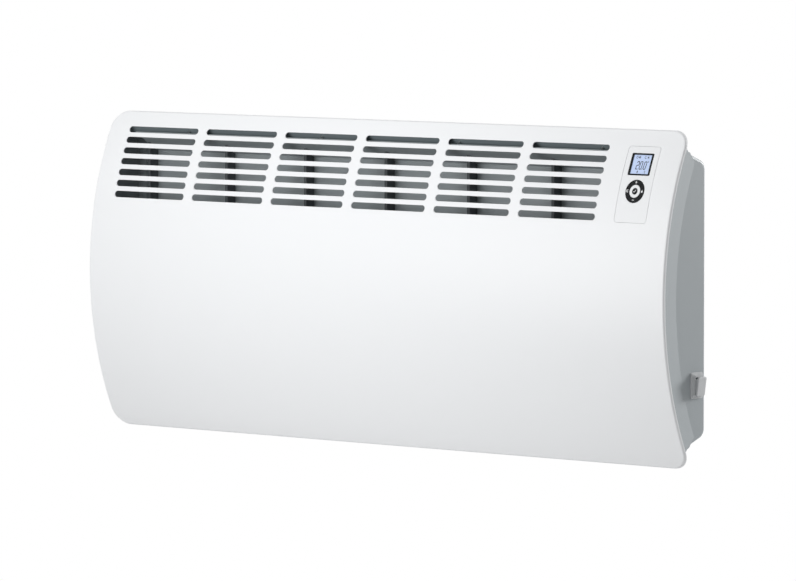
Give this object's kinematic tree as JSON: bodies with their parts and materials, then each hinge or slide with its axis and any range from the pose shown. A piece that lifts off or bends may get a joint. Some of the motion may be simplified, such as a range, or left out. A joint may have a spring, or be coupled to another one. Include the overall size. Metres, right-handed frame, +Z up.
{
  "type": "fan convector heater",
  "caption": "Wall-hung fan convector heater: bowed slotted front, side caps, display with key ring, side rocker switch, crossflow fan and hanging bracket.",
  "frame": {"origin": "centre of the four wall screws, on the wall's face", "axes": "+X along the heater to the viewer's right, +Y into the wall, +Z up"},
  "size_m": [1.0557, 0.122, 0.45],
  "materials": {
    "white_panel": "satin",
    "grey_casing": "satin",
    "grey_tray": "satin",
    "dark_sheet": "satin",
    "galvanised_steel": "satin",
    "black_plastic": "satin",
    "zinc_screw": "satin",
    "rubber": "matte",
    "aluminium_fin": "satin",
    "steel_tube": "satin",
    "ceramic_bead": "satin",
    "bronze_bush": "satin",
    "dark_steel": "satin",
    "copper_coil": "gloss",
    "ivory_plastic": "satin",
    "green_board": "satin",
    "white_fascia": "gloss",
    "black_gloss": "gloss",
    "lcd_glass": "gloss",
    "light_grey_plastic": "satin",
    "brass_tag": "satin"
  },
  "bodies": {
    "bracket": {"wall_bracket": "galvanised_steel"},
    "lock_left": {"lock_lever_left": "black_plastic"},
    "lock_right": {"lock_lever_right": "black_plastic"},
    "rocker": {"switch_rocker": "light_grey_plastic"},
    "plus_key": {"key_plus": "black_gloss"},
    "minus_key": {"key_minus": "black_gloss"},
    "menu_key": {"key_menu": "black_gloss"},
    "mode_key": {"key_mode": "black_gloss"},
    "ok_key": {"key_ok": "black_gloss"},
    "fan_rotor": {"fan_impeller": "aluminium_fin", "fan_shaft": "steel_tube", "motor_rotor": "steel_tube"},
    "heater": {"air_guide": "grey_tray", "board_screws": "zinc_screw", "board_spacers": "ivory_plastic", "bulkhead": "galvanised_steel", "cable_gland": "black_plastic", "casing_screws": "zinc_screw", "control_board": "green_board", "control_chip": "black_plastic", "control_fascia": "white_fascia", "display_frame": "black_gloss", "element_fins": "aluminium_fin", "element_plate_left": "galvanised_steel", "element_plate_right": "galvanised_steel", "element_terminals": "ceramic_bead", "element_tube": "steel_tube", "fan_bush": "bronze_bush", "fan_plate_left": "galvanised_steel", "fan_plate_right": "galvanised_steel", "fan_scroll": "galvanised_steel", "fan_tongue": "galvanised_steel", "front_panel": "white_panel", "gland_nut": "black_plastic", "guide_ribs": "dark_sheet", "intake_grille": "grey_tray", "key_carrier": "white_fascia", "key_switches": "black_plastic", "lcd_backlight": "ivory_plastic", "lcd_glass": "lcd_glass", "motor_coil": "copper_coil", "motor_mounts": "rubber", "motor_screws": "zinc_screw", "motor_stator": "dark_steel", "motor_strap": "galvanised_steel", "power_board": "green_board", "power_parts": "black_plastic", "rear_tray": "grey_tray", "room_sensor": "ivory_plastic", "side_cap_left": "grey_casing", "side_cap_right": "grey_casing", "switch_frame": "light_grey_plastic", "switch_pin": "steel_tube", "switch_terminals": "brass_tag", "terminal_block": "ivory_plastic", "thermal_cutout": "black_plastic", "wall_bumpers": "rubber", "wire_grommet": "rubber"}
  },
  "joints": [
    {"name": "heater_lift", "type": "slide", "parent": "bracket", "child": "heater", "axis": [0, 0, 1], "range_m": [0, 0.0125]},
    {"name": "lock_left_turn", "type": "hinge", "parent": "bracket", "child": "lock_left", "pos_m": [-0.3, 0, -0.12], "axis": [0, 1, 0], "range_deg": [0, 90]},
    {"name": "lock_right_turn", "type": "hinge", "parent": "bracket", "child": "lock_right", "pos_m": [0.3, 0, -0.12], "axis": [0, -1, 0], "range_deg": [0, 90]},
    {"name": "rocker_tilt", "type": "hinge", "parent": "heater", "child": "rocker", "pos_m": [0.5212, -0.0441, -0.1141], "axis": [0, 1, 0], "range_deg": [-15.4, 0]},
    {"name": "fan_spin", "type": "hinge", "parent": "heater", "child": "fan_rotor", "pos_m": [0, -0.0623, -0.15], "axis": [1, 0, 0], "continuous": true},
    {"name": "plus_press", "type": "slide", "parent": "heater", "child": "plus_key", "axis": [0, 0.954, -0.2997], "range_m": [0, 0.0007], "stiffness_N_per_m": 900, "springref_m": -0.0003},
    {"name": "minus_press", "type": "slide", "parent": "heater", "child": "minus_key", "axis": [0, 0.954, -0.2997], "range_m": [0, 0.0007], "stiffness_N_per_m": 900, "springref_m": -0.0003},
    {"name": "menu_press", "type": "slide", "parent": "heater", "child": "menu_key", "axis": [0, 0.954, -0.2997], "range_m": [0, 0.0007], "stiffness_N_per_m": 900, "springref_m": -0.0003},
    {"name": "mode_press", "type": "slide", "parent": "heater", "child": "mode_key", "axis": [0, 0.954, -0.2997], "range_m": [0, 0.0007], "stiffness_N_per_m": 900, "springref_m": -0.0003},
    {"name": "ok_press", "type": "slide", "parent": "heater", "child": "ok_key", "axis": [0, 0.954, -0.2997], "range_m": [0, 0.0007], "stiffness_N_per_m": 900, "springref_m": -0.0003}
  ]
}
